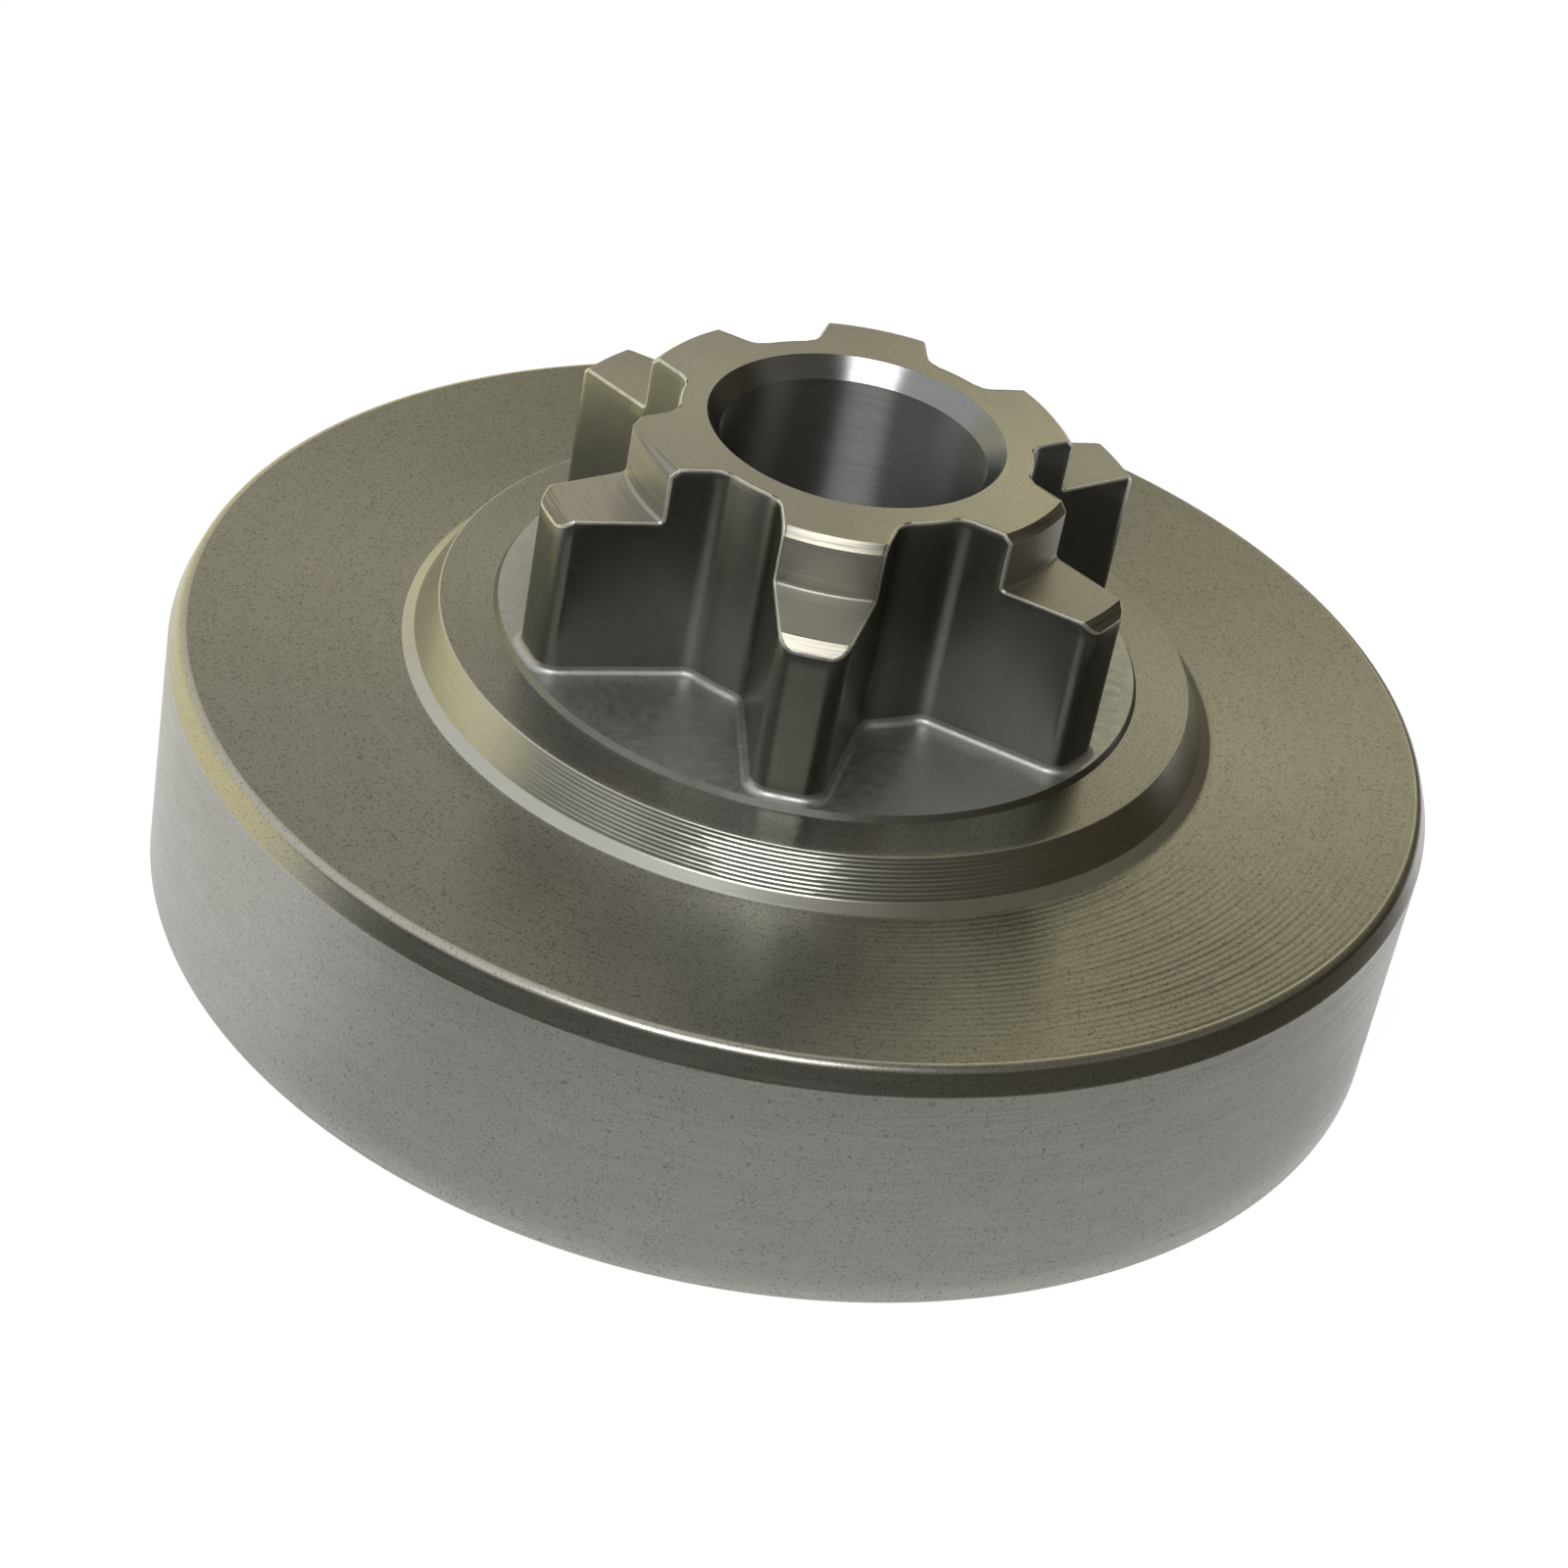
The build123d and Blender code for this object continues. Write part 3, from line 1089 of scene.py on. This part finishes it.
def ring_card(name, turn, wide, profile, tint, strength=1.0):
    """A card bent round the part, by its middle, its width and a profile of (radius, height, cover)."""
    edge = 0.3

    def spot(u, radius, height, cover):
        place = towards(turn + u * wide / 2, 0.0, radius)
        return Vector((place.x, place.y, height)), faded(u, edge) * cover

    shares = between(-1.0, 1.0, RING_CARD_STEPS)
    studio_card(name, [[spot(u, *line) for u in shares] for line in profile], tint, strength)


# Far cards, each a little farther than the one before: middle, size and soft edge, tint and strength
FAR_CARDS = (
    ("dark_back_card", 180, 50, 14, 26, 0.3, "1c1c1a", 1.0),
    ("dark_front_card", 0, 14, 80, 72, 0.3, "30302c", 1.0),
    ("dark_left_card", -54, 2, 68, 40, 0.25, "30302c", 1.0),
    ("warm_left_card", -135, 10, 90, 40, 0.4, "f0ead0", 1.0),
    ("brown_right_card", 72, 8, 96, 52, 0.2, "544a3c", 1.0),
    ("brown_back_card", 130, 26, 56, 52, 0.3, "5c5446", 1.0),
    ("low_back_card", 180, 3, 110, 42, 0.12, "55524a", 1.0),
    ("grey_back_card", -165, 46, 40, 44, 0.4, "d4cdb9", 1.22),
    ("cream_back_card", 162, 38, 44, 48, 0.4, "fcf5d0", 1.52),
)


def studio_cards(studio, drum):
    """The cards that the part mirrors: far ones, low ones round it, a shade in front and a ceiling."""
    card_gap = 0.01
    for i, (name, *card) in enumerate(FAR_CARDS):
        far_card(name, studio.card_distance + card_gap * i, *card)

    steps = between(0.0, 1.0, RING_CARD_RISE)
    low = [(studio.low_card_radius, studio.low_card_height * s, faded(s, 0.5)) for s in steps]
    near, far = drum.radius + 1 * MM, 2.5 * studio.low_card_radius
    flat = [(near + (far - near) * s, 0.1 * MM, faded(s, 0.8)) for s in steps]

    def dome(lowest, edge, distance):
        rise = [radians(90 + (lowest - 90) * s) for s in steps]
        return [(distance * cos(e), distance * sin(e), faded(s, edge)) for s, e in zip(steps, rise)]

    ring_card("low_dark_card", 4, 130, low, "50504b")
    ring_card("low_brown_card", 68, 96, low, "40382b")
    ring_card("low_warm_card", -115, 125, low, "f2ebc0", 1.3)
    ring_card("floor_shade_card", 20, 150, flat, "d8d8d4")
    ring_card("ceiling_card", 75, 200, dome(20, 0.3, studio.card_distance - card_gap), "6e6a60")
    ring_card("zenith_card", 75, 360, dome(76, 0.5, studio.card_distance - 2 * card_gap), "6e6a60")


def studio_lamp(studio, name, turn, elevation, wide, high, brightness):
    """A soft lamp that faces the part; brightness is what a mirror would show, with white as 1."""
    data = bpy.data.lights.new(name, "AREA")
    data.shape = "RECTANGLE"
    data.size = wide
    data.size_y = high
    data.energy = brightness * pi * wide * high
    lamp = in_scene(name, data)
    lamp.location = towards(turn, elevation, studio.lamp_distance)
    lamp.rotation_euler = (-lamp.location).to_track_quat("-Z", "Y").to_euler()


def studio_world():
    """A white surround, bright in mirrors and in the background and softer as plain light."""
    world = bpy.data.worlds.new("white_studio")
    bpy.context.scene.world = world
    world.use_nodes = True
    tree = world.node_tree
    tree.nodes.clear()
    strength = node(tree, "MapRange", {}, {
        "Value": shows_background(tree), "To Min": 0.6, "To Max": 1.0,
    })
    white = node(tree, "Background", {}, {
        "Color": (1.0, 1.0, 1.0, 1.0), "Strength": strength.outputs["Result"],
    })
    node(tree, "OutputWorld", {}, {"Surface": white.outputs[0]})


def studio_camera(studio):
    """The camera, aimed at the rim's centre and then turned by its yaw, pitch and roll."""
    def turned(first, second, turn):
        return first * cos(turn) + second * sin(turn), second * cos(turn) - first * sin(turn)

    ahead = Vector((0.0, cos(studio.elevation), -sin(studio.elevation)))
    right = Vector((1.0, 0.0, 0.0))
    down = ahead.cross(right)
    place = -ahead * studio.distance
    ahead, right = turned(ahead, right, studio.yaw)
    ahead, down = turned(ahead, down, studio.pitch)
    right, down = turned(right, down, studio.roll)
    axes = Matrix((right, -down, -ahead)).transposed()

    data = bpy.data.cameras.new("camera")
    data.lens = studio.lens
    data.sensor_width = 36.0
    data.clip_start = 0.01
    data.clip_end = 10.0
    camera = in_scene("camera", data)
    camera.matrix_world = Matrix.Translation(place) @ axes.to_4x4()
    bpy.context.scene.camera = camera


class CLUTCHDRUM_OT_studio(bpy.types.Operator):
    """Build the stage: floor, surround, cards, lamps and camera"""

    bl_idname = "clutch_drum.build_studio"
    bl_label = "Build the studio"

    def execute(self, context):
        studio = context.scene.studio_settings
        studio_floor(studio, context.scene.drum_sizes)
        studio_world()
        studio_cards(studio, context.scene.drum_sizes)
        studio_lamp(studio, "key_lamp", turn=-5, elevation=53, wide=0.32, high=0.22, brightness=7.5)
        studio_camera(studio)
        context.scene.view_settings.view_transform = "Standard"
        return {"FINISHED"}


class CLUTCHDRUM_PT_panel(bpy.types.Panel):
    """Sizes, colours and the two build steps."""

    bl_idname = "CLUTCHDRUM_PT_panel"
    bl_label = "Clutch drum sprocket"
    bl_space_type = "VIEW_3D"
    bl_region_type = "UI"
    bl_category = "Clutch drum"

    def draw(self, context):
        layout = self.layout
        for operator in OPERATORS:
            layout.operator(operator.bl_idname)
        for group_name, group in GROUPS.items():
            column = layout.column(align=True)
            column.label(text=group.__doc__.rstrip("."))
            for name in group.__annotations__:
                column.prop(getattr(context.scene, group_name), name)


OPERATORS = (CLUTCHDRUM_OT_drum, CLUTCHDRUM_OT_studio)
GROUPS = {
    "drum_sizes": DrumSizes,
    "sprocket_sizes": SprocketSizes,
    "bore_sizes": BoreSizes,
    "cut_marks": CutMarks,
    "steel_colours": SteelColours,
    "studio_settings": StudioSettings,
}


def register():
    for group_name, group in GROUPS.items():
        bpy.utils.register_class(group)
        setattr(bpy.types.Scene, group_name, bpy.props.PointerProperty(type=group))
    for operator in OPERATORS:
        bpy.utils.register_class(operator)
    bpy.utils.register_class(CLUTCHDRUM_PT_panel)


def unregister():
    bpy.utils.unregister_class(CLUTCHDRUM_PT_panel)
    for operator in reversed(OPERATORS):
        bpy.utils.unregister_class(operator)
    for group_name, group in reversed(GROUPS.items()):
        delattr(bpy.types.Scene, group_name)
        bpy.utils.unregister_class(group)


def main():
    register()
    bpy.ops.clutch_drum.build_drum()
    bpy.ops.clutch_drum.build_studio()


if __name__ == "__main__":
    main()
